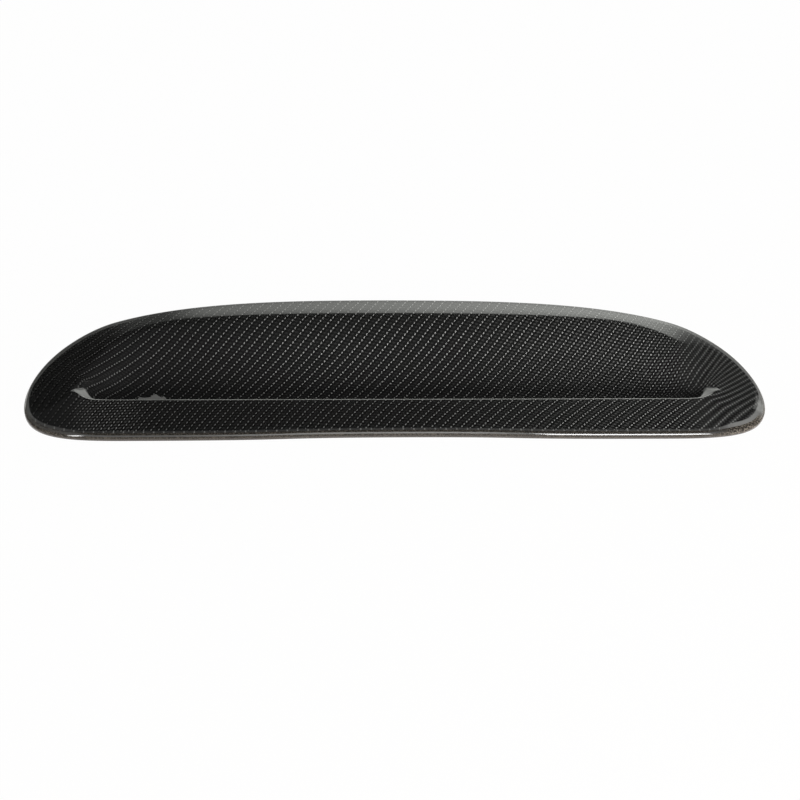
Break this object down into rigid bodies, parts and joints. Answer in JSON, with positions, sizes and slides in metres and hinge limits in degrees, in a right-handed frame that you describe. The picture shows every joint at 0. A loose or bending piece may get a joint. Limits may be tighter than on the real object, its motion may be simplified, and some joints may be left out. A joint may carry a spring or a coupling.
{
  "type": "bonnet scoop",
  "caption": "Low bonnet scoop moulded as one thin twill-carbon shell: a D-shaped plan, a flat front band, a straight lip over a shallow closed mouth, and a roof that rises behind it.",
  "frame": {"origin": "on the seat face, at the middle of the front edge and half a laminate in from it", "axes": "+X across the car, +Y towards the windscreen, +Z outward from the bonnet; the seat lies in z = 0"},
  "size_m": [0.574, 0.1414, 0.0273],
  "materials": {
    "clear_coated_twill": "carbon twill under a clear gloss coat"
  },
  "bodies": {
    "root": {"scoop_shell": "clear_coated_twill"}
  },
  "joints": []
}
